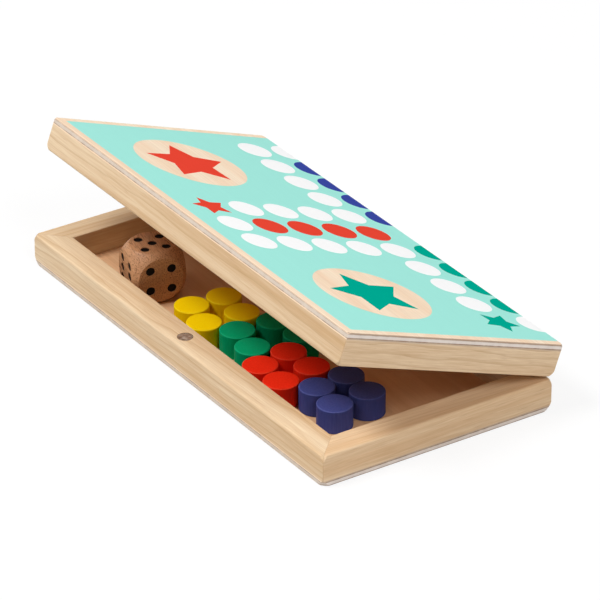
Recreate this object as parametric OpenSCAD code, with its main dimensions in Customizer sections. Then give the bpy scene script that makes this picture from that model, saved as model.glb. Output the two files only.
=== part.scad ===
// Folding ludo board box: two shallow wooden halves hinged along one long side.
// Shut, it is a box for the pawns and the die. Laid open, its printed outer faces make one board.
// Origin at the centre of the tray's base, +X along the hinge, +Y from the front to the hinge, +Z up.
// All sizes in millimetres, angles in degrees.

/* [Halves] */
// Length of each half, along the hinge
half_l = 200; // [180:1:240]
// Width of each half, from the front to the hinge
half_w = 100; // [88:1:120]
// Width of the frame rails, seen from above
rail_w = 11; // [9:0.1:14]
// Thickness of the plywood panels
panel_t = 2.6; // [2:0.1:4]
// Gap between the halves at the hinge, both when shut and when laid open
hinge_gap = 0.6; // [0.4:0.05:1]
// Radius of the four upright corners of each half
corner_r = 0.5; // [0.3:0.1:4]
// Radius of the outer edge round each meeting face
meet_edge_r = 1; // [0.2:0.1:1.5]
// Radius of the inner edge round each meeting face
inner_edge_r = 0.4; // [0.2:0.1:1]
// Radius of the tray's lower edges, except along the hinge
tray_edge_r = 0.8; // [0.3:0.1:1.8]
// Radius of the lid's upper edges, except along the hinge
lid_edge_r = 0.5; // [0.2:0.1:1.8]
// How far along its edges each corner of the tray's base is sanded round
tray_corner_reach = 5.5; // [2:0.5:9]
// How far along its edges each corner of a meeting face is sanded round
meet_corner_reach = 4; // [2:0.5:6]
// How far along its edges each corner of the lid's face is sanded round
lid_corner_reach = 2; // [2:0.5:9]
// Angle at which the lid stands open at rest
lid_angle = 20; // [0:0.5:60]

/* [Hinges] */
// Length of each hinge
hinge_l = 25; // [18:0.5:32]
// Distance from the end of a half to the near end of its hinge
hinge_inset = 27.5; // [16:0.5:45]
// Width of a hinge leaf, from the back face into the rail
leaf_w = 8; // [6.5:0.1:8.5]
// Thickness of a hinge leaf
leaf_t = 0.9; // [0.6:0.05:1.2]
// Diameter of the knuckles
barrel_d = 3.6; // [3.2:0.1:4.2]
// Diameter of the hinge pin
pin_d = 1.5; // [1:0.1:1.8]
// Radial clearance of the pin in the lid leaf's knuckle
pin_play = 0.05; // [0.02:0.01:0.1]
// Length of each of the tray leaf's two knuckles
end_knuckle_l = 8; // [5:0.5:8.5]
// Gap between one knuckle and the next, and round the barrel in its pocket
knuckle_gap = 0.3; // [0.2:0.05:0.5]
// Gap between a leaf and the sides of its mortise
leaf_play = 0.1; // [0.05:0.05:0.3]

/* [Hinge screws] */
// Length of a screw, head and tip included
screw_l = 8; // [5:0.5:8.5]
// Diameter of a screw's shank
screw_d = 1.8; // [1.4:0.1:2.4]
// Diameter of a screw's countersunk head
screw_head_d = 3.6; // [3:0.1:4.2]
// Diameter of the flat at a screw's tip
screw_tip_d = 0.3; // [0.2:0.1:0.6]
// Distance from the end of a leaf to the middle of its nearer screw
screw_inset = 4.5; // [3:0.5:7]
// Width of the slot in a screw's head
slot_w = 0.5; // [0.3:0.05:0.8]
// Depth of the slot in a screw's head
slot_depth = 0.4; // [0.2:0.05:0.5]

/* [Magnets] */
// Diameter of the magnet in each front rail
magnet_d = 6; // [4:0.5:7]
// Length of the magnet
magnet_l = 3; // [2:0.5:5]

/* [Die] */
// Edge of the die, between opposite flat faces
die_edge = 21; // [19:0.5:24]
// Diameter of the ball that rounds off the die's corners
die_ball_d = 27.5; // [27:0.1:30]
// Diameter of a pip
pip_d = 3.5; // [2:0.1:4]
// Distance between neighbouring pips
pip_spacing = 8.4; // [7:0.1:9]
// Depth of a pip's dimple
pip_depth = 0.5; // [0.3:0.1:1]
// Thickness of the paint at the bottom of a dimple
pip_paint_t = 0.2; // [0.1:0.05:0.3]
// Room left between the die and the panels when the box is shut
die_play = 0.4; // [0.3:0.1:2]
// Angle by which the die lies turned, seen from above
die_turn = -13.7; // [-30:0.1:0]

/* [Pawns] */
// Diameter of a pawn
pawn_d = 13.5; // [11:0.1:14]
// Height of a pawn
pawn_h = 9.3; // [6:0.1:10]
// Radius of a pawn's edges
pawn_edge_r = 0.5; // [0.2:0.1:1.5]
// Least gap between neighbouring pawns
pawn_gap = 0.2; // [0.2:0.05:0.5]
// Least gap between a loose piece and the frame or the swinging lid
piece_gap = 0.3; // [0.2:0.05:1]

/* [Print] */
// Depth of the print, which lies flush in the panel's outer face
print_t = 0.1; // [0.05:0.05:0.2]
// Width of the bare wood left round the print
border = 3.35; // [2.2:0.05:6]
// Distance from the edge of a half to the outermost dots
track_margin = 11.3; // [9:0.1:14]
// Gap between neighbouring dots
dot_gap = 2.45; // [1.5:0.05:4]
// Diameter of a bare home circle
home_d = 45; // [36:0.5:48]
// Distance from the edges of a half to the middle of a home circle
home_inset = 38.7; // [34:0.1:40]
// Diameter round the points of a home star
home_star_d = 35.5; // [28:0.5:36]
// Inner diameter of any star as a share of its outer diameter
star_waist = 0.507; // [0.4:0.001:0.6]

/* [Hidden] */
$fn = 64;

// Overshoot of a cutting solid past the face that it cuts
cut = 1;

// Radius of a corner's ball as a share of its reach: just over the square root of two
ball_share = 1.42;

// The shut box holds the die between its panels, and that sets the height of the rails
cavity_h = die_edge + die_play;
rail_h = (cavity_h - hinge_gap) / 2;
half_h = panel_t + rail_h;
inner_l = half_l - 2 * rail_w;
inner_w = half_w - 2 * rail_w;

// The hinge axis stands half a gap behind the back faces and half a gap above the meeting face
axis_y = (half_w + hinge_gap) / 2;
axis_z = half_h + hinge_gap / 2;

// Places of the hinges along the back, and of the knuckles along a hinge
hinge_x = half_l / 2 - hinge_inset - hinge_l / 2;
mid_knuckle_l = hinge_l - 2 * (end_knuckle_l + knuckle_gap);
barrel_clear_r = barrel_d / 2 + knuckle_gap;
leaf_front_y = half_w / 2 - leaf_w;
leaf_back_y = axis_y - barrel_clear_r;
screw_y = (leaf_front_y + leaf_back_y) / 2;
screw_x = hinge_l / 2 - screw_inset;
screw_tip_l = screw_d;

// Die: reach from its upright axis to the frame, turned as it lies
die_reach = die_ball_d / 2 * cos(acos(die_edge / die_ball_d) - abs(die_turn));

// Pawns: they lie in four loose groups behind the front rail.
// Their spots are counted in pawn pitches from the first pawn and from the front row.
PAWN_COLOURS = ["gold", "seagreen", "firebrick", "darkslateblue"];
pawn_pitch = pawn_d + pawn_gap;
pawn_spots = [
    [[0, 0.23], [0.99, 0], [0.06, 1.23], [1.08, 1.16]],
    [[1.85, 0.52], [2.84, 0.36], [1.97, 1.63], [2.97, 1.83]],
    [[3.78, 0], [4.79, 0], [3.59, 1.03], [4.59, 1.11]],
    [[5.58, 0.62], [6.58, 0.52], [5.48, 1.62], [6.49, 1.61]]
];
pawn_block_l = pawn_spots[3][1][0] * pawn_pitch + pawn_d;

// Free floor along the tray, shared out left of the die, between, and right of the pawns
free_l = inner_l - 2 * die_reach - pawn_block_l;
die_share = 0.5;
pawn_share = 0.264;
die_x = -inner_l / 2 + die_share * free_l + die_reach;
die_y = -inner_w / 2 + piece_gap + die_reach;
first_pawn_x = inner_l / 2 - pawn_share * free_l - pawn_block_l + pawn_d / 2;

// The lid's front rail swings in over the tray by this much before it clears a lifted pawn
swing_r = axis_y + inner_w / 2;
lifted_h = panel_t + rail_h + pawn_h + piece_gap - axis_z;
swing_in = swing_r - sqrt(swing_r * swing_r - lifted_h * lifted_h);
front_row_y = -inner_w / 2 + swing_in + piece_gap + pawn_d / 2;

// Board drawing: a cross of dots centred on the hinge line, drawn in board places.
// Arm 0 points to the lid's front, and each next arm is a quarter turn further.
RED = 0;
GREEN = 1;
YELLOW = 2;
BLUE = 3;
arm_steps = 5;
track_reach = min(half_l / 2, half_w) - track_margin;
dot_pitch = (track_reach + dot_gap / 2) / (arm_steps + 0.5);
dot_d = dot_pitch - dot_gap;
start_star_d = dot_pitch;
home_x = half_l / 2 - home_inset;
home_y = half_w - home_inset;
home_spots = [[-home_x, -home_y], [home_x, -home_y], [home_x, home_y], [-home_x, home_y]];
start_star_angles = [47, 53];
home_star_angles = [30.5, 27];

// Quarter turn cut that eases the square corner at the origin to radius r
module corner_cut(r) {
    difference() {
        translate([-cut, -cut]) square(r + cut);
        translate([r, r]) circle(r);
    }
}

// Outline of a half from above, with its upright corners rounded
module half_outline() {
    difference() {
        square([half_l, half_w], center = true);
        for (sx = [-1, 1], sy = [-1, 1])
            scale([sx, sy]) translate([-half_l / 2, -half_w / 2]) corner_cut(corner_r);
    }
}

// What sanding takes off a square corner at the origin, up to reach along each of its edges.
// A ball that just holds the three edges from there on leaves the rest.
module corner_waste(reach) {
    difference() {
        translate([-cut, -cut, -cut]) cube(reach + cut);
        translate([reach, reach, reach]) sphere(r = ball_share * reach);
    }
}

// Its children, pieces of one half, with the eight corners of the half sanded round
module sanded(face_reach) {
    difference() {
        children();
        for (sx = [-1, 1], sy = [-1, 1]) scale([sx, sy, 1]) {
            translate([-half_l / 2, -half_w / 2, 0]) corner_waste(face_reach);
            translate([-half_l / 2, -half_w / 2, half_h])
                mirror([0, 0, 1]) corner_waste(meet_corner_reach);
        }
    }
}

// Places its children as the lid: a half turned over on the tray, then swung open
module as_lid() {
    translate([0, axis_y, axis_z])
        rotate([-lid_angle, 0, 0])
            translate([0, -axis_y, axis_z])
                mirror([0, 0, 1]) children();
}

// Cross-section of a rail: x from the outer face, y up from the panel
module rail_section() {
    difference() {
        square([rail_w, rail_h]);
        translate([0, rail_h]) mirror([0, 1]) corner_cut(meet_edge_r);
        translate([rail_w, rail_h]) rotate(180) corner_cut(inner_edge_r);
    }
}

// Straight rail along X with its outer face on y = 0, mitred at both ends
module mitred_rail(length) {
    intersection() {
        translate([-length / 2, 0, 0])
            rotate([90, 0, 90]) linear_extrude(length) rail_section();
        linear_extrude(rail_h)
            polygon([[-length / 2, 0], [length / 2, 0],
                [length / 2 - rail_w, rail_w], [rail_w - length / 2, rail_w]]);
    }
}

// One rail in its place on a half: 0 front, 90 right, 180 back, 270 left
module frame_rail(side) {
    along = side % 180 == 0 ? half_l : half_w;
    across = side % 180 == 0 ? half_w : half_l;
    translate([0, 0, panel_t])
        intersection() {
            rotate(side) translate([0, -across / 2, 0]) mitred_rail(along);
            linear_extrude(rail_h) half_outline();
        }
}

// Front rail, drilled in the middle of its meeting face for the magnet
module front_rail() {
    difference() {
        frame_rail(0);
        magnet(magnet_l + cut);
    }
}

// Back rail, with a mortise, a barrel pocket and pilot holes for each hinge
module back_rail() {
    difference() {
        frame_rail(180);
        for (side = [-1, 1]) translate([side * hinge_x, 0, 0]) {
            mortise();
            barrel(barrel_clear_r, hinge_l + 2 * knuckle_gap);
            screws();
        }
    }
}

module mortise() {
    translate([-hinge_l / 2 - leaf_play, leaf_front_y - leaf_play, half_h - leaf_t])
        cube([hinge_l + 2 * leaf_play, leaf_w + leaf_play + cut, leaf_t + cut]);
}

// Round bar on the hinge axis, centred on x = 0
module barrel(r, length) {
    translate([-length / 2, axis_y, axis_z]) rotate([0, 90, 0]) cylinder(r = r, h = length);
}

// One hinge screw, head flush with the meeting face, in its place on the axis x = 0
module screw() {
    translate([0, screw_y, half_h]) mirror([0, 0, 1]) {
        cylinder(d1 = screw_head_d, d2 = screw_d, h = leaf_t);
        translate([0, 0, leaf_t]) cylinder(d = screw_d, h = screw_l - leaf_t - screw_tip_l);
        translate([0, 0, screw_l - screw_tip_l])
            cylinder(d1 = screw_d, d2 = screw_tip_d, h = screw_tip_l);
    }
}

// The two screws of one leaf
module screws() {
    for (place = [-1, 1]) translate([place * screw_x, 0, 0]) screw();
}

module screw_slot() {
    translate([-screw_head_d, screw_y - slot_w / 2, half_h - slot_depth])
        cube([2 * screw_head_d, slot_w, slot_depth + cut]);
}

// All four screws of a half, with slotted heads
module hinge_screws() {
    for (side = [-1, 1], place = [-1, 1])
        translate([side * hinge_x + place * screw_x, 0, 0])
            difference() {
                screw();
                screw_slot();
            }
}

// Hinge leaf in its mortise: a drilled plate with tongues that curl into knuckles.
// knuckles lists the middle and the length of each knuckle along the hinge.
module leaf(knuckles, bore_r) {
    difference() {
        union() {
            translate([-hinge_l / 2, leaf_front_y, half_h - leaf_t])
                cube([hinge_l, leaf_back_y - leaf_front_y, leaf_t]);
            for (k = knuckles) translate([k[0], 0, 0]) {
                translate([-k[1] / 2, leaf_back_y - leaf_t, half_h - leaf_t])
                    cube([k[1], axis_y - leaf_back_y + leaf_t, leaf_t]);
                barrel(barrel_d / 2, k[1]);
            }
        }
        barrel(bore_r, hinge_l + 2 * cut);
        screws();
    }
}

// The tray's leaf has the two end knuckles, which grip the pin
module tray_leaf() {
    end_x = (hinge_l - end_knuckle_l) / 2;
    leaf([[-end_x, end_knuckle_l], [end_x, end_knuckle_l]], pin_d / 2);
}

// The lid's leaf has the middle knuckle, which turns on the pin
module lid_leaf() {
    leaf([[0, mid_knuckle_l]], pin_d / 2 + pin_play);
}

// Magnet in the middle of a front rail, flush with the meeting face when it is magnet_l long
module magnet(length) {
    translate([0, (rail_w - half_w) / 2, half_h - magnet_l]) cylinder(d = magnet_d, h = length);
}

// Cross-section of a panel, its two lower corners eased by their own radii
module panel_section(width, left_r, right_r) {
    difference() {
        translate([-width / 2, 0]) square([width, panel_t]);
        translate([-width / 2, 0]) corner_cut(left_r);
        translate([width / 2, 0]) mirror([1, 0]) if (right_r > 0) corner_cut(right_r);
    }
}

// Panel of a half, printed face down: eased on three sides, with the print's shallow bed
module panel(edge_r) {
    difference() {
        intersection() {
            linear_extrude(panel_t) half_outline();
            rotate([90, 0, 0]) linear_extrude(half_w, center = true)
                panel_section(half_l, edge_r, edge_r);
            rotate([90, 0, 90]) linear_extrude(half_l, center = true)
                panel_section(half_w, edge_r, 0);
        }
        translate([0, 0, -cut]) linear_extrude(print_t + cut) children();
    }
}

// Five-pointed star with one point along X
module star(d) {
    polygon([for (i = [0:9]) (i % 2 == 0 ? d / 2 : d * star_waist / 2) * [cos(36 * i), sin(36 * i)]]);
}

// Dots at board places counted in dot pitches
module dots(cells) {
    for (c = cells) translate(c * dot_pitch) circle(d = dot_d);
}

// Printable part of the whole board: all but the border, straight across the hinge line
module print_zone() {
    square([half_l - 2 * border, 2 * (half_w - border)], center = true);
}

// White dots: two columns beside each arm and the dot at the arm's end
module white_dots() {
    for (arm = [0:3]) rotate(90 * arm)
        dots(concat([[0, -arm_steps]], [for (j = [1:4]) [-1, -j]], [for (j = [2:5]) [1, -j]]));
}

// Coloured dots along the middle of an arm, and the star on its starting place
module arm_marks(arm) {
    rotate(90 * arm) {
        dots([for (j = [1:4]) [0, -j]]);
        translate([-1, -arm_steps] * dot_pitch) rotate(start_star_angles[arm % 2]) star(start_star_d);
    }
}

module home_circles() {
    for (spot = home_spots) translate(spot) circle(d = home_d);
}

module home_star(arm) {
    translate(home_spots[arm]) rotate(90 * arm + home_star_angles[arm % 2]) star(home_star_d);
}

// Everything that one colour prints
module colour_print(arm) {
    arm_marks(arm);
    home_star(arm);
}

// All that is printed: the zone without the bare circles, and the stars inside them
module printed_area() {
    difference() {
        print_zone();
        home_circles();
    }
    for (arm = [0:3]) home_star(arm);
}

module ground_print() {
    difference() {
        print_zone();
        home_circles();
        white_dots();
        for (arm = [0:3]) arm_marks(arm);
    }
}

// What lies on the near side of the hinge line
module near_half() {
    intersection() {
        translate([-half_l / 2, -half_w]) square([half_l, half_w]);
        children();
    }
}

// The board's near half on the lid's face
module on_lid() {
    translate([0, half_w / 2]) near_half() children();
}

// The board's far half on the tray's face, which is seen from below
module on_tray() {
    translate([0, half_w / 2]) near_half() mirror([0, 1]) children();
}

// A print colour in its bed
module film() {
    linear_extrude(print_t) children();
}

// Pawn: a short slice of turned dowel with eased edges
module pawn(colour, i) {
    spot = pawn_spots[colour][i - 1];
    color(PAWN_COLOURS[colour])
        translate([first_pawn_x + spot[0] * pawn_pitch, front_row_y + spot[1] * pawn_pitch, panel_t])
            rotate_extrude() difference() {
                square([pawn_d / 2, pawn_h]);
                translate([pawn_d / 2, 0]) mirror([1, 0]) corner_cut(pawn_edge_r);
                translate([pawn_d / 2, pawn_h]) rotate(180) corner_cut(pawn_edge_r);
            }
}

// Turns that bring each face of the die up from the top, with the pips that it carries
DIE_FACES = [
    [[0, 0, 0], [[0, 0], [1, 1], [1, -1], [-1, 1], [-1, -1]]],
    [[180, 0, 0], [[1, 1], [-1, -1]]],
    [[90, 0, 0], [[1, 1], [1, 0], [1, -1], [-1, 1], [-1, 0], [-1, -1]]],
    [[-90, 0, 0], [[0, 0]]],
    [[0, 90, 0], [[1, 1], [1, -1], [-1, 1], [-1, -1]]],
    [[0, -90, 0], [[1, 1], [0, 0], [-1, -1]]]
];

// Places its children as the die lies on the tray's floor
module on_floor() {
    translate([die_x, die_y, panel_t + die_edge / 2]) rotate(die_turn) children();
}

// Round discs under every pip, from depth below a face up by the given height
module pips(depth, height) {
    for (face = DIE_FACES) rotate(face[0])
        for (p = face[1])
            translate([p[0] * pip_spacing / 2, p[1] * pip_spacing / 2, die_edge / 2 - depth])
                cylinder(d = pip_d, h = height);
}

module die() {
    color("saddlebrown") on_floor() difference() {
        intersection() {
            cube(die_edge, center = true);
            sphere(d = die_ball_d);
        }
        pips(pip_depth, pip_depth + cut);
    }
}

module die_pips() {
    color("black") on_floor() pips(pip_depth, pip_paint_t);
}

module tray_half() { sanded(tray_corner_reach) children(); }
module lid_half() { as_lid() sanded(lid_corner_reach) children(); }

module tray_panel() {
    color("navajowhite") tray_half() panel(tray_edge_r) on_tray() printed_area();
}
module lid_panel() {
    color("navajowhite") lid_half() panel(lid_edge_r) on_lid() printed_area();
}

module tray_front_rail() { color("burlywood") tray_half() front_rail(); }
module tray_back_rail() { color("burlywood") tray_half() back_rail(); }
module tray_left_rail() { color("burlywood") tray_half() frame_rail(270); }
module tray_right_rail() { color("burlywood") tray_half() frame_rail(90); }
module lid_front_rail() { color("burlywood") lid_half() front_rail(); }
module lid_back_rail() { color("burlywood") lid_half() back_rail(); }
module lid_left_rail() { color("burlywood") lid_half() frame_rail(270); }
module lid_right_rail() { color("burlywood") lid_half() frame_rail(90); }
module tray_magnet() { color("silver") magnet(magnet_l); }
module lid_magnet() { color("silver") as_lid() magnet(magnet_l); }
module tray_hinge_screws() { color("goldenrod") hinge_screws(); }
module lid_hinge_screws() { color("goldenrod") as_lid() hinge_screws(); }
module hinge_tray_leaf(side) { color("goldenrod") translate([side * hinge_x, 0, 0]) tray_leaf(); }
module hinge_lid_leaf(side) { color("goldenrod") as_lid() translate([side * hinge_x, 0, 0]) lid_leaf(); }
module hinge_pin(side) { color("silver") translate([side * hinge_x, 0, 0]) barrel(pin_d / 2, hinge_l); }

module lid_film() { lid_half() film() on_lid() children(); }
module tray_film() { tray_half() film() on_tray() children(); }
module lid_print_ground() { color("paleturquoise") lid_film() ground_print(); }
module lid_print_white() { color("white") lid_film() white_dots(); }
module lid_print_red() { color("tomato") lid_film() colour_print(RED); }
module lid_print_green() { color("lightseagreen") lid_film() colour_print(GREEN); }
module lid_print_blue() { color("royalblue") lid_film() colour_print(BLUE); }
module tray_print_ground() { color("paleturquoise") tray_film() ground_print(); }
module tray_print_white() { color("white") tray_film() white_dots(); }
module tray_print_yellow() { color("gold") tray_film() colour_print(YELLOW); }
module tray_print_green() { color("lightseagreen") tray_film() colour_print(GREEN); }
module tray_print_blue() { color("royalblue") tray_film() colour_print(BLUE); }

tray_panel();
tray_front_rail();
tray_back_rail();
tray_left_rail();
tray_right_rail();
tray_magnet();
tray_hinge_screws();
lid_panel();
lid_front_rail();
lid_back_rail();
lid_left_rail();
lid_right_rail();
lid_magnet();
lid_hinge_screws();
hinge_tray_leaf(-1);  // left_hinge_tray_leaf
hinge_lid_leaf(-1);  // left_hinge_lid_leaf
hinge_pin(-1);  // left_hinge_pin
hinge_tray_leaf(1);  // right_hinge_tray_leaf
hinge_lid_leaf(1);  // right_hinge_lid_leaf
hinge_pin(1);  // right_hinge_pin
pawn(0, 1);  // yellow_pawn_1
pawn(0, 2);  // yellow_pawn_2
pawn(0, 3);  // yellow_pawn_3
pawn(0, 4);  // yellow_pawn_4
pawn(1, 1);  // green_pawn_1
pawn(1, 2);  // green_pawn_2
pawn(1, 3);  // green_pawn_3
pawn(1, 4);  // green_pawn_4
pawn(2, 1);  // red_pawn_1
pawn(2, 2);  // red_pawn_2
pawn(2, 3);  // red_pawn_3
pawn(2, 4);  // red_pawn_4
pawn(3, 1);  // blue_pawn_1
pawn(3, 2);  // blue_pawn_2
pawn(3, 3);  // blue_pawn_3
pawn(3, 4);  // blue_pawn_4
die();
die_pips();
lid_print_ground();
lid_print_white();
lid_print_red();
lid_print_green();
lid_print_blue();
tray_print_ground();
tray_print_white();
tray_print_yellow();
tray_print_green();
tray_print_blue();
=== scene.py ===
"""Folding ludo board box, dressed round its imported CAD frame.

Everything is in metres, in the frame of the box: +X along the hinge, +Y from the front to the
hinge, +Z up, with the origin at the centre of the tray's base.
"""

import math

import bpy
from mathutils import Euler, Matrix, Vector

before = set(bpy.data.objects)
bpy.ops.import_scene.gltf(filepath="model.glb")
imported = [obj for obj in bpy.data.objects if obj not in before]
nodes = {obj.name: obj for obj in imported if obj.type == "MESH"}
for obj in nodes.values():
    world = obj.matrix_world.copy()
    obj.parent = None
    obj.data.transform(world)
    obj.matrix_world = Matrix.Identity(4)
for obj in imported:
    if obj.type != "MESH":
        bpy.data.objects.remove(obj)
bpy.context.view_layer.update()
MM = 0.001


# Camera
# A long lens at the height of a standing viewer, three quarters round to the right of the box.
view_elevation = math.radians(29.03)
view_azimuth = math.radians(56.58)
view_target = Vector((0.00361, 0.00386, 0.01538))
view_distance = 1.790

camera = bpy.data.objects.new("camera", bpy.data.cameras.new("camera"))
camera.data.lens = 288.2
camera.data.sensor_width = 36
camera.rotation_euler = Euler((math.pi / 2 - view_elevation, 0, view_azimuth))
camera.location = view_target + camera.rotation_euler.to_matrix() @ Vector((0, 0, view_distance))
bpy.context.scene.collection.objects.link(camera)
bpy.context.scene.camera = camera


# Studio
# A white table in a dim white room. A large soft lamp stands high in front and a little left,
# a weaker one at the right of the box, and a faint one overhead evens out the board.
def srgb(red, green, blue):
    """A colour given as display values from 0 to 255, as the linear RGBA that shaders take."""
    return (*[((c / 255 + 0.055) / 1.055) ** 2.4 if c > 10 else c / 3294.6
              for c in (red, green, blue)], 1)


def new_material(name, roughness, specular):
    """A material, its node tree and its shader, with the two settings that every one needs."""
    material = bpy.data.materials.new(name)
    material.use_nodes = True
    shader = material.node_tree.nodes["Principled BSDF"]
    shader.inputs["Roughness"].default_value = roughness
    shader.inputs["Specular IOR Level"].default_value = specular
    return material, material.node_tree, shader


def add(tree, kind, *links, **settings):
    """A new node of a kind such as TexNoise, with links from sockets to its first inputs.

    Settings are attributes of the node or, with _ for each space, values of its inputs.
    """
    made = tree.nodes.new("ShaderNode" + kind)
    for name, value in settings.items():
        if hasattr(made, name):
            setattr(made, name, value)
        else:
            made.inputs[name.replace("_", " ")].default_value = value
    for index, source in enumerate(links):
        tree.links.new(source, made.inputs[index])
    return made


def soft_lamp(name, towards, distance, size, power):
    """A round area lamp that shines on the box from a direction."""
    lamp = bpy.data.objects.new(name, bpy.data.lights.new(name, "AREA"))
    lamp.data.shape = "DISK"
    lamp.data.size = size
    lamp.data.energy = power
    lamp.location = Vector(towards).normalized() * distance
    lamp.rotation_euler = lamp.location.to_track_quat("Z", "Y").to_euler()
    bpy.context.scene.collection.objects.link(lamp)


floor_reach = 12
floor_mesh = bpy.data.meshes.new("floor")
floor_mesh.from_pydata([(x * floor_reach, y * floor_reach, 0) for x, y in
                        ((-1, -1), (1, -1), (1, 1), (-1, 1))], [], [(0, 1, 2, 3)])
floor = bpy.data.objects.new("floor", floor_mesh)
bpy.context.scene.collection.objects.link(floor)
white_card, tree, shader = new_material("white_card", 0.9, 0.1)
shader.inputs["Base Color"].default_value = srgb(226, 226, 226)
floor_mesh.materials.append(white_card)
# The camera sees the card mostly lit from within, so only a faint shadow shows on it
glow = add(tree, "Emission", Strength=1.06)
sight = add(tree, "Math", add(tree, "LightPath").outputs["Is Camera Ray"], operation="MULTIPLY")
sight.inputs[1].default_value = 0.8
part_lit = add(tree, "MixShader", sight.outputs[0], shader.outputs[0], glow.outputs[0])
tree.links.new(part_lit.outputs[0], tree.nodes["Material Output"].inputs["Surface"])

bpy.context.scene.view_settings.view_transform = "Standard"
room = bpy.data.worlds.new("room")
bpy.context.scene.world = room
room.use_nodes = True
tree = room.node_tree
rays = add(tree, "LightPath")
seen = add(tree, "Math", rays.outputs["Is Camera Ray"], rays.outputs["Is Glossy Ray"],
           operation="MAXIMUM")
dim = tree.nodes["Background"]
dim.inputs["Color"].default_value = (1, 1, 1, 1)
dim.inputs["Strength"].default_value = 0.15
white = add(tree, "Background", Color=(1, 1, 1, 1), Strength=1.0)
mixed = add(tree, "MixShader", seen.outputs[0], dim.outputs[0], white.outputs[0])
tree.links.new(mixed.outputs[0], tree.nodes["World Output"].inputs["Surface"])

soft_lamp("key_lamp", (-0.20, -0.50, 0.84), 2.6, 1.1, 48)
soft_lamp("top_lamp", (0.00, 0.10, 0.99), 2.6, 1.6, 9)
soft_lamp("side_lamp", (0.70, 0.00, 0.71), 2.6, 1.3, 25)


# Frame rails
# Eight lengths of planed pine, mitred and glued into two frames, sanded and left bare.
# Each is cut from its own stretch of a log, so its growth rings run their own way.
hinge_axis = Vector((0, 50.3, 13.3)) * MM
lid_angle = math.radians(20)
half_w = 100 * MM


def half_coordinates(tree, half):
    """Object coordinates of a half as the tray lies: print at z = 0, meeting face on top."""
    placed = add(tree, "TexCoord").outputs["Object"]
    if half == "tray":
        return placed
    turned_over = Euler((-lid_angle, 0, 0)).to_matrix() @ Matrix.Diagonal((1, 1, -1))
    back = add(tree, "Mapping", placed, Rotation=(-lid_angle, 0, 0), Scale=(1, 1, -1),
               Location=hinge_axis - turned_over @ hinge_axis)
    return back.outputs[0]


def new_group(name, inputs, outputs):
    """A shader node group with float inputs and outputs, and one vector input."""
    group = bpy.data.node_groups.new(name, "ShaderNodeTree")
    group.interface.new_socket("Vector", in_out="INPUT", socket_type="NodeSocketVector")
    for label in inputs:
        group.interface.new_socket(label, in_out="INPUT", socket_type="NodeSocketFloat")
    for label in outputs:
        group.interface.new_socket(label, in_out="OUTPUT", socket_type="NodeSocketFloat")
    given = group.nodes.new("NodeGroupInput").outputs
    return group, given, group.nodes.new("NodeGroupOutput").inputs


def compute(tree, operation, first, second=None, third=None):
    """The output of a Math node on sockets or numbers."""
    made = add(tree, "Math", operation=operation)
    for index, value in enumerate((first, second, third)):
        if isinstance(value, bpy.types.NodeSocket):
            tree.links.new(value, made.inputs[index])
        elif value is not None:
            made.inputs[index].default_value = value
    return made.outputs[0]


def stretched(tree, vector, along):
    """Coordinates drawn out along X, so that a noise on them runs with the grain."""
    made = add(tree, "VectorMath", vector, operation="MULTIPLY")
    made.inputs[1].default_value = (along, 1, 1)
    return made.outputs[0]


def ramp(tree, value, *stops):
    """A grey ramp through the given (place, brightness) stops."""
    made = add(tree, "ValToRGB", value)
    elements = made.color_ramp.elements
    while len(elements) < len(stops):
        elements.new(0.5)
    for element, (place, grey) in zip(elements, stops):
        element.position = place
        element.color = (grey, grey, grey, 1)
    return made.outputs[0]


def fade(tree, value, low, high, new_low=0, new_high=1):
    """A value mapped from one range to another and held inside it."""
    return add(tree, "MapRange", value, From_Min=low, From_Max=high, To_Min=new_low,
               To_Max=new_high).outputs[0]


def blend(tree, factor, first, second):
    """The output of a colour Mix node on sockets or colours."""
    made = add(tree, "Mix", data_type="RGBA")
    for index, value in ((0, factor), (6, first), (7, second)):
        if isinstance(value, bpy.types.NodeSocket):
            tree.links.new(value, made.inputs[index])
        else:
            made.inputs[index].default_value = value
    return made.outputs[2]


def make_wood_grain():
    """Grain along X, with the pith on the X axis and the growth rings round it.

    It puts out the dark late wood of each ring, fine fibres, short flecks, and the slow drift
    of the log's colour. A noise's scale is in cells to the metre, across the grain.
    """
    group, given, result = new_group("wood_grain", ("Ring", "Wander"),
                                     ("Late", "Fibre", "Fleck", "Shade"))
    vector = given["Vector"]
    drift = add(group, "TexNoise", stretched(group, vector, 0.4), Scale=50, Detail=3,
                Roughness=0.45)
    drift = compute(group, "SUBTRACT", drift.outputs["Fac"], 0.5)
    across = add(group, "VectorMath", vector, operation="MULTIPLY")
    across.inputs[1].default_value = (0, 1, 1)
    radius = add(group, "VectorMath", across.outputs[0], operation="LENGTH").outputs["Value"]
    rings = compute(group, "DIVIDE", radius, given["Ring"])
    rings = compute(group, "MULTIPLY_ADD", drift, given["Wander"], rings)
    late = ramp(group, compute(group, "FRACT", rings), (0, 0), (0.6, 0.1), (0.88, 0.7),
                (0.94, 1), (1, 0))
    each = add(group, "TexWhiteNoise", noise_dimensions="1D")
    group.links.new(compute(group, "FLOOR", rings), each.inputs["W"])
    weight = fade(group, each.outputs["Value"], 0, 1, 0.3, 1)
    group.links.new(compute(group, "MULTIPLY", late, weight), result["Late"])
    fine = stretched(group, vector, 0.025)
    short = stretched(group, vector, 0.05)
    for label, scale, low, high, source in (("Fibre", 1800, 0.34, 0.66, fine),
                                            ("Fleck", 1700, 0.6, 0.78, short),
                                            ("Shade", 120, 0.36, 0.64, fine)):
        noise = add(group, "TexNoise", source, Scale=scale, Detail=5, Roughness=0.6)
        group.links.new(fade(group, noise.outputs["Fac"], low, high), result[label])
    return group


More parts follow.
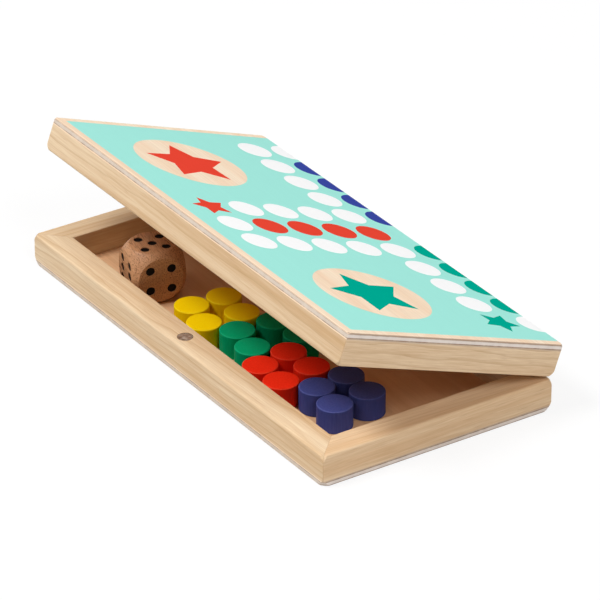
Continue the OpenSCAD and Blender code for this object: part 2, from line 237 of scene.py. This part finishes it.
def grain_on(tree, vector, turn, pith, ring, wander):
    """The wood grain's outputs, with the log turned (degrees) and its pith moved (mm)."""
    log = add(tree, "Mapping", vector, Rotation=[math.radians(a) for a in turn],
              Location=[0, pith[0] * MM, pith[1] * MM])
    return add(tree, "Group", log.outputs[0], node_tree=wood_grain, Ring=ring * MM,
               Wander=wander).outputs


def raise_grain(tree, shader, height, depth):
    """A bump on a shader from a height of 0 to 1 and its real depth in mm."""
    bump = add(tree, "Bump", Strength=0.3, Distance=depth * MM)
    tree.links.new(height, bump.inputs["Height"])
    tree.links.new(bump.outputs[0], shader.inputs["Normal"])


def pine(name, half, turn, pith, ring, lines, bands, early, late):
    """Bare pine with the glue line of its mitres.

    The growth rings show as fine lines, and the colour of the log drifts in wide bands.
    """
    material, tree, shader = new_material(name, 0.6, 0.25)
    placed = half_coordinates(tree, half)
    grain = grain_on(tree, placed, turn, pith, ring, 2.2)
    colour = blend(tree, compute(tree, "MULTIPLY", grain["Shade"], bands), srgb(*early),
                   srgb(*late))
    colour = blend(tree, compute(tree, "MULTIPLY", grain["Late"], lines), colour,
                   srgb(*[c * 0.93 for c in late]))
    colour = blend(tree, compute(tree, "MULTIPLY", grain["Fibre"], 0.36), colour,
                   srgb(194, 150, 102))
    colour = blend(tree, compute(tree, "MULTIPLY", grain["Fleck"], 0.4), colour,
                   srgb(164, 114, 74))
    # How far a point lies from the plane of the nearest mitre, which starts at a corner
    away = add(tree, "SeparateXYZ", placed)
    from_end = compute(tree, "SUBTRACT", half_w / 2, compute(tree, "ABSOLUTE", away.outputs["X"]))
    mitre = compute(tree, "ADD", from_end, compute(tree, "ABSOLUTE", away.outputs["Y"]))
    glue = fade(tree, compute(tree, "ABSOLUTE", mitre), 0.05 * MM, 0.2 * MM, 0.25, 0)
    colour = blend(tree, glue, colour, srgb(140, 92, 52))
    tree.links.new(colour, shader.inputs["Base Color"])
    tree.links.new(fade(tree, grain["Fibre"], 0, 1, 0.52, 0.66), shader.inputs["Roughness"])
    raise_grain(tree, shader, grain["Fibre"], 0.05)
    return material


def finish_node(name, material):
    """Gives a CAD node its one material."""
    nodes[name].data.materials.clear()
    nodes[name].data.materials.append(material)


wood_grain = make_wood_grain()
cream, tan = (246, 226, 194), (214, 173, 123)
warm, orange = (248, 223, 188), (220, 179, 134)
# Turn of the log (degrees), place of its pith and width of a ring (mm), strength of the lines
# and of the bands, and the colours of early and late wood
rail_logs = {
    "tray_front_rail": ((0, 0.6, -1.3), (66, 30), 2.4, 0.6, 0.7, cream, tan),
    "tray_back_rail": ((0, 0.4, 0.8), (-20, -52), 3.6, 0.4, 0.7, cream, tan),
    "tray_left_rail": ((0, -0.8, 91.2), (-44, 30), 2.4, 0.5, 0.7, cream, tan),
    "tray_right_rail": ((0, 0.9, 92.0), (-70, 42), 2.6, 0.5, 0.7, warm, orange),
    "lid_front_rail": ((0, 0.5, 0.9), (74, 30), 2.2, 0.6, 0.8, (238, 214, 180), (200, 160, 114)),
    "lid_back_rail": ((0, -0.4, 1.0), (12, 48), 3.6, 0.4, 0.7, cream, tan),
    "lid_left_rail": ((0, 0.7, 89.0), (52, 26), 3.5, 0.4, 0.8, cream, tan),
    "lid_right_rail": ((0, -1.6, 92.4), (-88, 14), 3.0, 0.7, 0.5, warm, orange),
}
for name, log in rail_logs.items():
    finish_node(name, pine("pine_" + name, name.split("_")[0], *log))


# Plywood panels
# Two thin three-layer boards, glued over the frames and left bare where they aren't printed.
# Their cut edges show the pale core between two patchy glue lines.
def plywood(name, half):
    """Veneers with their grain along X on a core with its grain across.

    The layers go by their depth in mm from the print. Cut across its grain, a layer shows
    darker.
    """
    core_starts, core_ends = 0.6, 2.0
    material, tree, shader = new_material(name, 0.55, 0.25)
    placed = half_coordinates(tree, half)
    grain = grain_on(tree, placed, (0.2, 0.5, 1.2), (21, -240), 5, 4)
    depth = compute(tree, "DIVIDE", add(tree, "SeparateXYZ", placed).outputs["Z"], MM)
    facing = add(tree, "SeparateXYZ", add(tree, "TexCoord").outputs["Normal"])
    end_cut = fade(tree, compute(tree, "ABSOLUTE", facing.outputs["X"]), 0.5, 0.8)
    patchy = add(tree, "TexNoise", placed, Scale=260, Detail=3, Roughness=0.6).outputs["Fac"]
    outer = blend(tree, compute(tree, "MULTIPLY", grain["Shade"], 0.6), srgb(254, 233, 206),
                  srgb(244, 206, 170))
    inner = blend(tree, compute(tree, "MULTIPLY", grain["Shade"], 0.6), srgb(234, 190, 148),
                  srgb(206, 156, 112))
    side = fade(tree, compute(tree, "ABSOLUTE", facing.outputs["Z"]), 0.8, 0.92, 1, 0)
    is_floor = compute(tree, "SUBTRACT", fade(tree, depth, core_ends, core_ends + 0.1), side)
    veneer = blend(tree, is_floor, outer, inner)
    veneer = blend(tree, compute(tree, "MULTIPLY", grain["Fibre"], 0.2), veneer,
                   srgb(190, 142, 104))
    veneer = blend(tree, compute(tree, "MULTIPLY", end_cut, 0.7), veneer, srgb(190, 160, 138))
    # Painted shade: the outermost layer of the cut edges, by the print, is painted grey-brown
    # as the shade under the tray's bottom edge; the lid's edge gets the same
    painted_edge_shade = compute(tree, "MULTIPLY", side, fade(tree, depth, 0.3, 0.5, 0.5, 0))
    veneer = blend(tree, painted_edge_shade, veneer, srgb(150, 124, 106))
    in_core = compute(tree, "MULTIPLY", fade(tree, depth, core_starts - 0.05, core_starts + 0.05),
                      fade(tree, depth, core_ends - 0.1, core_ends - 0.2))
    cross_core = blend(tree, patchy, srgb(232, 218, 204), srgb(204, 186, 170))
    long_core = blend(tree, patchy, srgb(252, 242, 234), srgb(230, 214, 202))
    colour = blend(tree, in_core, veneer, blend(tree, end_cut, cross_core, long_core))
    dark = fade(tree, patchy, 0.35, 0.6, 0.25, 0.75)
    for line, width in ((core_starts, 0.12), (core_ends, 0.24)):
        near = compute(tree, "ABSOLUTE", compute(tree, "SUBTRACT", depth, line))
        glue = compute(tree, "MULTIPLY", fade(tree, near, width * 0.4, width, 1, 0), dark)
        colour = blend(tree, glue, colour, srgb(128, 100, 82))
    tree.links.new(colour, shader.inputs["Base Color"])
    raise_grain(tree, shader, grain["Fibre"], 0.04)
    return material


for half in ("tray", "lid"):
    finish_node(half + "_panel", plywood("plywood_" + half, half))


# Printed board
# Flat matt inks, screen printed on the veneer, so thin that its fibre just shows in them.
inks = {
    "ground": (166, 236, 224),
    "white": (255, 255, 255),
    "red": (236, 72, 54),
    "green": (0, 170, 147),
    "blue": (60, 74, 162),
    "yellow": (244, 206, 40),
}
for label, colour in inks.items():
    material, tree, shader = new_material("ink_" + label, 0.7, 0.0)
    grain = grain_on(tree, add(tree, "TexCoord").outputs["Object"], (0, 0.3, 1), (20, -200), 5, 4)
    tint = compute(tree, "MULTIPLY", grain["Fibre"], 0.05)
    tree.links.new(blend(tree, tint, srgb(*colour), srgb(*[c * 0.8 for c in colour])),
                   shader.inputs["Base Color"])
    for half in ("lid", "tray"):
        if half + "_print_" + label in nodes:
            finish_node(half + "_print_" + label, material)


# Magnets
# A nickel-plated disc pressed into each front rail, flush with the meeting face.
# The plating is mottled, and the rim lies in the shade of its drilled hole.
magnet_r = 3 * MM
magnet_face = Vector((0, -44.5, 13)) * MM
for half in ("tray", "lid"):
    nickel, tree, shader = new_material("nickel_" + half, 0.4, 0.5)
    shader.inputs["Metallic"].default_value = 1
    placed = half_coordinates(tree, half)
    mottle = add(tree, "TexNoise", placed, Scale=700, Detail=4, Roughness=0.65).outputs["Fac"]
    colour = blend(tree, fade(tree, mottle, 0.35, 0.65), srgb(198, 191, 184), srgb(250, 247, 243))
    centred = add(tree, "VectorMath", placed, operation="SUBTRACT")
    centred.inputs[1].default_value = magnet_face
    from_axis = add(tree, "VectorMath", centred.outputs[0], operation="LENGTH").outputs["Value"]
    painted_light_rim = fade(tree, from_axis, magnet_r - 0.25 * MM, magnet_r - 0.1 * MM, 0, 0.85)
    tree.links.new(blend(tree, painted_light_rim, colour, srgb(60, 48, 38)), shader.inputs["Base Color"])
    tree.links.new(fade(tree, mottle, 0.3, 0.7, 0.28, 0.5), shader.inputs["Roughness"])
    finish_node(half + "_magnet", nickel)


# Hinges
# Two small stamped brass butt hinges with steel pins, let in and screwed to the back rails.
def worn_metal(name, colour, dull, roughness):
    """Bright metal, duller in patches."""
    material, tree, shader = new_material(name, roughness, 0.5)
    shader.inputs["Metallic"].default_value = 1
    worn = add(tree, "TexNoise", add(tree, "TexCoord").outputs["Object"], Scale=650, Detail=4,
               Roughness=0.6).outputs["Fac"]
    tree.links.new(blend(tree, fade(tree, worn, 0.4, 0.7), srgb(*colour), srgb(*dull)),
                   shader.inputs["Base Color"])
    tree.links.new(fade(tree, worn, 0.3, 0.7, roughness - 0.06, roughness + 0.12),
                   shader.inputs["Roughness"])
    return material


brass = worn_metal("brass", (222, 186, 112), (188, 148, 82), 0.26)
steel = worn_metal("pin_steel", (198, 198, 196), (160, 158, 155), 0.24)
for side in ("left", "right"):
    finish_node(side + "_hinge_tray_leaf", brass)
    finish_node(side + "_hinge_lid_leaf", brass)
    finish_node(side + "_hinge_pin", steel)
for half in ("tray", "lid"):
    finish_node(half + "_hinge_screws", brass)


# Pawns
# Sixteen slices of turned dowel, four of each colour, dipped in satin paint.
# Each end's eased edge is painted paler, for the thin paint there and as a painted highlight.
pawn_paints = {
    "yellow": ((255, 220, 0), (252, 198, 0), (255, 236, 40)),
    "green": ((0, 166, 112), (0, 146, 96), (30, 186, 136)),
    "red": ((246, 46, 20), (220, 32, 14), (248, 88, 60)),
    "blue": ((70, 79, 146), (55, 62, 122), (102, 110, 176)),
}
for label, (full, deep, tint) in pawn_paints.items():
    material, tree, shader = new_material("paint_" + label, 0.5, 0.06)
    coordinates = add(tree, "TexCoord").outputs
    upright = add(tree, "Mapping", coordinates["Object"], Scale=(1, 1, 0.12))
    fibre = add(tree, "TexNoise", upright.outputs[0], Scale=1500, Detail=3, Roughness=0.6)
    fibre = fade(tree, fibre.outputs["Fac"], 0.3, 0.7)
    colour = blend(tree, compute(tree, "MULTIPLY", fibre, 0.5), srgb(*full), srgb(*deep))
    lean = compute(tree, "ABSOLUTE", add(tree, "SeparateXYZ", coordinates["Normal"]).outputs["Z"])
    # Painted highlight, with thin paint: the eased edges get the paler colour, in patches
    painted_light_rim = ramp(tree, lean, (0.25, 0), (0.6, 1), (0.9, 1), (0.99, 0))
    painted_light_rim = compute(tree, "MULTIPLY", painted_light_rim, fade(tree, fibre, 0, 1, 0.55, 0.25))
    tree.links.new(blend(tree, painted_light_rim, colour, srgb(*tint)), shader.inputs["Base Color"])
    tree.links.new(fade(tree, fibre, 0, 1, 0.42, 0.56), shader.inputs["Roughness"])
    raise_grain(tree, shader, fibre, 0.03)
    for number in range(1, 5):
        finish_node(f"{label}_pawn_{number}", material)


# Die
# A cube of brown stained beech, tumbled round, with drilled dimples for pips.
# The pips are painted black, and the stain settles in the pores, which run to the face with four.
die_turn = -13.7
stained, tree, shader = new_material("stained_beech", 0.5, 0.25)
placed = add(tree, "TexCoord").outputs["Object"]
grain = grain_on(tree, placed, (2, 4, -die_turn), (30, 20), 2.4, 2)
pores = add(tree, "Mapping", placed, Rotation=(0, 0, math.radians(-die_turn)))
pores = add(tree, "TexNoise", stretched(tree, pores.outputs[0], 0.12), Scale=2200, Detail=2)
colour = blend(tree, compute(tree, "MULTIPLY", grain["Late"], 0.35), srgb(206, 154, 112),
               srgb(162, 108, 70))
colour = blend(tree, compute(tree, "MULTIPLY", grain["Fibre"], 0.35), colour, srgb(140, 88, 56))
colour = blend(tree, fade(tree, pores.outputs["Fac"], 0.5, 0.78), colour, srgb(96, 58, 36))
tree.links.new(colour, shader.inputs["Base Color"])
raise_grain(tree, shader, grain["Fibre"], 0.08)
finish_node("die", stained)
pip_black, tree, shader = new_material("pip_black", 0.6, 0.1)
shader.inputs["Base Color"].default_value = srgb(12, 10, 9)
finish_node("die_pips", pip_black)
